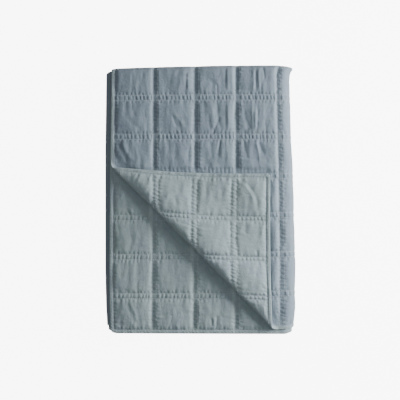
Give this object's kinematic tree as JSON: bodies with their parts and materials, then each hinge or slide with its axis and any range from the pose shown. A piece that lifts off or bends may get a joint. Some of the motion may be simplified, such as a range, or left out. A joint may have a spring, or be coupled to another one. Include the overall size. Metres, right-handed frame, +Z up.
{
  "type": "folded quilted bedspread",
  "caption": "Quilted cotton bedspread folded to a flat stack, with the corner of its top layer turned back to show the reverse.",
  "frame": {"origin": "middle of the underside, on the surface that the folded bedspread lies on", "axes": "+X across the stack to its round side fold, +Y along its length to the end with the folded edges, +Z up"},
  "size_m": [0.4632, 0.6476, 0.0799],
  "materials": {
    "quilted_cloth": "matt washed cotton, blue-grey on its face and grey-green on its reverse"
  },
  "bodies": {
    "root": {"bedspread": "quilted_cloth"}
  },
  "joints": []
}
